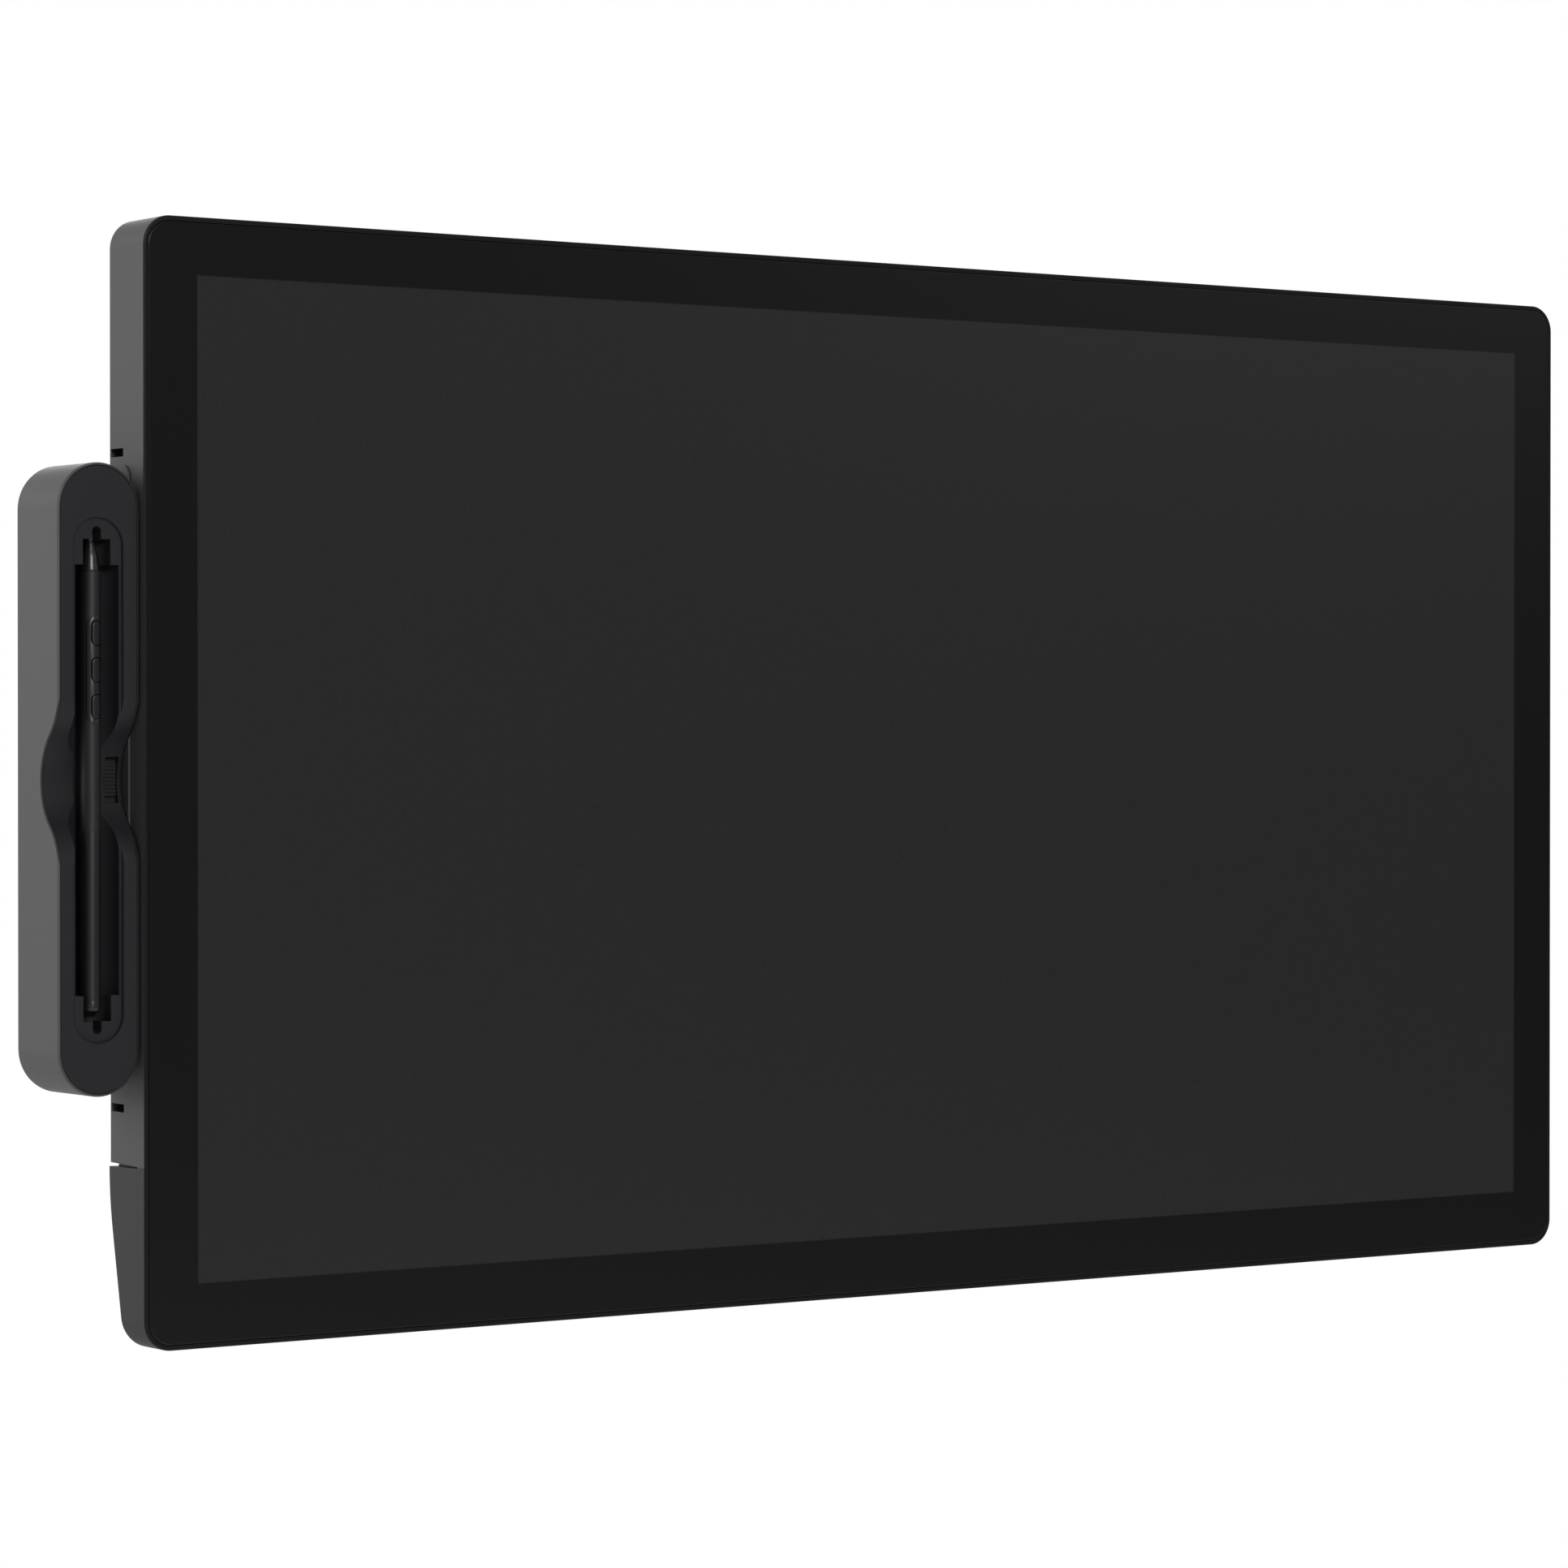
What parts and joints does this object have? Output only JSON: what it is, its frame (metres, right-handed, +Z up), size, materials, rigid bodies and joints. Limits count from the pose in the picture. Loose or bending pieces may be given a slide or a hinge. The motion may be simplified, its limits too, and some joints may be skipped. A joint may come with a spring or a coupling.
{
  "type": "graphics tablet with screen",
  "caption": "Pen display: flat drawing screen with a pen tray and pen on its left side, rear grips with keys, a port bay and a rear mounting plate.",
  "frame": {"origin": "centre of the four mounting holes, on the rear mounting face", "axes": "+X to the user's right along the long side, +Y to the back out of the mounting face, +Z up"},
  "size_m": [0.6678, 0.0329, 0.3774],
  "materials": {
    "front_glass": "etched anti-glare, dark",
    "front_frame": "matte black",
    "panel": "dark cell",
    "backlight": "white diffuser",
    "circuit_board": "green solder mask",
    "sheet_metal": "satin",
    "steel": "zinc plated",
    "black_steel": "black oxide",
    "mount_steel": "powder coat",
    "rear_cover": "fine grey paint",
    "lower_cover": "fine texture",
    "dark_plastic": "fine texture",
    "grip": "soft touch",
    "tray_shell": "fine grey paint",
    "tray_insert": "fine texture",
    "tray_bracket": "grey paint",
    "nib_rubber": "matte",
    "nib": "smooth",
    "pen_grip": "soft touch",
    "pen_body": "satin",
    "pen_core": "coil and board"
  },
  "bodies": {
    "display": {"cover_glass": "front_glass", "front_frame": "front_frame", "touch_sensor": "panel", "lcd_panel": "panel", "backlight_unit": "backlight", "pen_sensor_board": "circuit_board", "chassis_plate": "sheet_metal", "chassis_screws": "steel", "rear_cover": "rear_cover", "lower_cover": "lower_cover", "cover_screws": "black_steel", "vesa_bracket": "mount_steel", "main_board": "circuit_board", "backlight_board": "circuit_board", "pen_controller_board": "circuit_board", "board_screws": "steel", "port_bay": "dark_plastic", "usb_c_sockets": "steel", "hdmi_socket": "steel", "displayport_socket": "steel", "usb_a_sockets": "steel", "left_fan_housing": "dark_plastic", "right_fan_housing": "dark_plastic", "heat_sinks": "sheet_metal", "intake_grilles": "dark_plastic", "exhaust_grilles": "dark_plastic", "left_grip": "grip", "right_grip": "grip", "left_key_board": "circuit_board", "right_key_board": "circuit_board", "power_button_board": "circuit_board"},
    "tray": {"tray_shell": "tray_shell", "tray_insert": "tray_insert", "tray_bracket": "tray_bracket", "tray_bracket_screws": "steel", "nib_block": "nib_rubber", "spare_nibs": "nib"},
    "pen": {"pen_grip": "pen_grip", "pen_barrel": "pen_body", "pen_end_cap": "pen_body", "pen_cone": "pen_body", "pen_core": "pen_core", "pen_switch_bezel": "pen_body"},
    "tray_latch": {"tray_latch": "tray_insert"},
    "power_button": {"power_button": "dark_plastic"},
    "left_fan_rotor": {"left_fan_rotor": "dark_plastic"},
    "right_fan_rotor": {"right_fan_rotor": "dark_plastic"},
    "pen_nib": {"pen_nib": "nib"},
    "left_key_1": {"left_key_1": "dark_plastic"},
    "left_key_2": {"left_key_2": "dark_plastic"},
    "left_key_3": {"left_key_3": "dark_plastic"},
    "left_key_4": {"left_key_4": "dark_plastic"},
    "right_key_1": {"right_key_1": "dark_plastic"},
    "right_key_2": {"right_key_2": "dark_plastic"},
    "right_key_3": {"right_key_3": "dark_plastic"},
    "right_key_4": {"right_key_4": "dark_plastic"},
    "pen_button_1": {"pen_button_1": "pen_body"},
    "pen_button_2": {"pen_button_2": "pen_body"},
    "pen_button_3": {"pen_button_3": "pen_body"}
  },
  "joints": [
    {"name": "left_key_1_press", "type": "slide", "parent": "display", "child": "left_key_1", "axis": [0, -1, 0], "range_m": [0, 0.0008], "stiffness_N_per_m": 1200},
    {"name": "left_key_2_press", "type": "slide", "parent": "display", "child": "left_key_2", "axis": [0, -1, 0], "range_m": [0, 0.0008], "stiffness_N_per_m": 1200},
    {"name": "left_key_3_press", "type": "slide", "parent": "display", "child": "left_key_3", "axis": [0, -1, 0], "range_m": [0, 0.0008], "stiffness_N_per_m": 1200},
    {"name": "left_key_4_press", "type": "slide", "parent": "display", "child": "left_key_4", "axis": [0, -1, 0], "range_m": [0, 0.0008], "stiffness_N_per_m": 1200},
    {"name": "right_key_1_press", "type": "slide", "parent": "display", "child": "right_key_1", "axis": [0, -1, 0], "range_m": [0, 0.0008], "stiffness_N_per_m": 1200},
    {"name": "right_key_2_press", "type": "slide", "parent": "display", "child": "right_key_2", "axis": [0, -1, 0], "range_m": [0, 0.0008], "stiffness_N_per_m": 1200},
    {"name": "right_key_3_press", "type": "slide", "parent": "display", "child": "right_key_3", "axis": [0, -1, 0], "range_m": [0, 0.0008], "stiffness_N_per_m": 1200},
    {"name": "right_key_4_press", "type": "slide", "parent": "display", "child": "right_key_4", "axis": [0, -1, 0], "range_m": [0, 0.0008], "stiffness_N_per_m": 1200},
    {"name": "power_press", "type": "slide", "parent": "display", "child": "power_button", "axis": [0, 0, -1], "range_m": [0, 0.0006], "stiffness_N_per_m": 1500},
    {"name": "left_fan_spin", "type": "hinge", "parent": "display", "child": "left_fan_rotor", "pos_m": [-0.135, -0.011, 0.02], "axis": [0, 1, 0], "continuous": true},
    {"name": "right_fan_spin", "type": "hinge", "parent": "display", "child": "right_fan_rotor", "pos_m": [0.135, -0.011, 0.02], "axis": [0, 1, 0], "continuous": true},
    {"name": "tray_release", "type": "slide", "parent": "display", "child": "tray", "axis": [-1, 0, 0], "range_m": [0, 0.04]},
    {"name": "tray_latch_slide", "type": "slide", "parent": "tray", "child": "tray_latch", "axis": [0, 0, 1], "range_m": [-0.0016, 0.0016], "stiffness_N_per_m": 300},
    {"name": "pen_lift", "type": "slide", "parent": "tray", "child": "pen", "axis": [0, -1, 0], "range_m": [0, 0.05]},
    {"name": "pen_button_1_press", "type": "slide", "parent": "pen", "child": "pen_button_1", "axis": [-0.2079, 0.9781, 0], "range_m": [0, 0.00025], "stiffness_N_per_m": 3000},
    {"name": "pen_button_2_press", "type": "slide", "parent": "pen", "child": "pen_button_2", "axis": [-0.2079, 0.9781, 0], "range_m": [0, 0.00025], "stiffness_N_per_m": 3000},
    {"name": "pen_button_3_press", "type": "slide", "parent": "pen", "child": "pen_button_3", "axis": [-0.2079, 0.9781, 0], "range_m": [0, 0.00025], "stiffness_N_per_m": 3000},
    {"name": "pen_nib_press", "type": "slide", "parent": "pen", "child": "pen_nib", "axis": [0, 0, -1], "range_m": [0, 0.0004], "stiffness_N_per_m": 2500}
  ]
}
